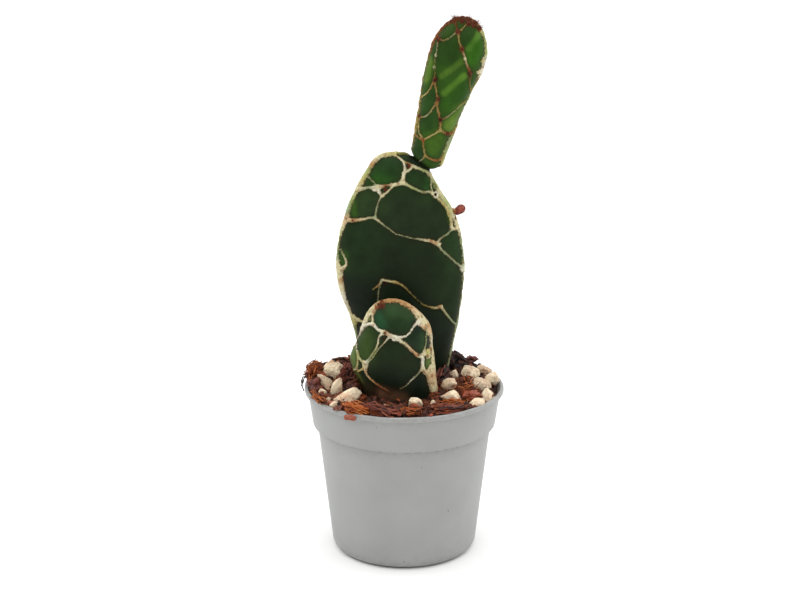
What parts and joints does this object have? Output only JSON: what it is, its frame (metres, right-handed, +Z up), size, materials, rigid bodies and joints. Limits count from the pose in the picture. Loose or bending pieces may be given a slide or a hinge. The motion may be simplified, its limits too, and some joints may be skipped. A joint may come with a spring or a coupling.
{
  "type": "potted opuntia reticulata cactus",
  "caption": "Small prickly pear with flat green stems covered by a raised corky net, growing in gritty soil in a round tapered plastic pot.",
  "frame": {"origin": "centre of the pot's foot, on the plane that the pot stands on", "axes": "+Z up along the pot's axis, +X to the right and -Y towards the viewer of the stems' front faces"},
  "size_m": [0.055, 0.055, 0.1476],
  "materials": {
    "pot": "moulded light grey polypropylene, fine satin",
    "soil": "moist coir fibre with pale pumice grit",
    "pad": "waxy dark green skin with a raised net of pale cork",
    "bud": "dull red scale"
  },
  "bodies": {
    "root": {"pot": "pot", "soil": "soil", "main_pad": "pad", "top_pad": "pad", "front_pad": "pad", "bud": "bud"}
  },
  "joints": []
}
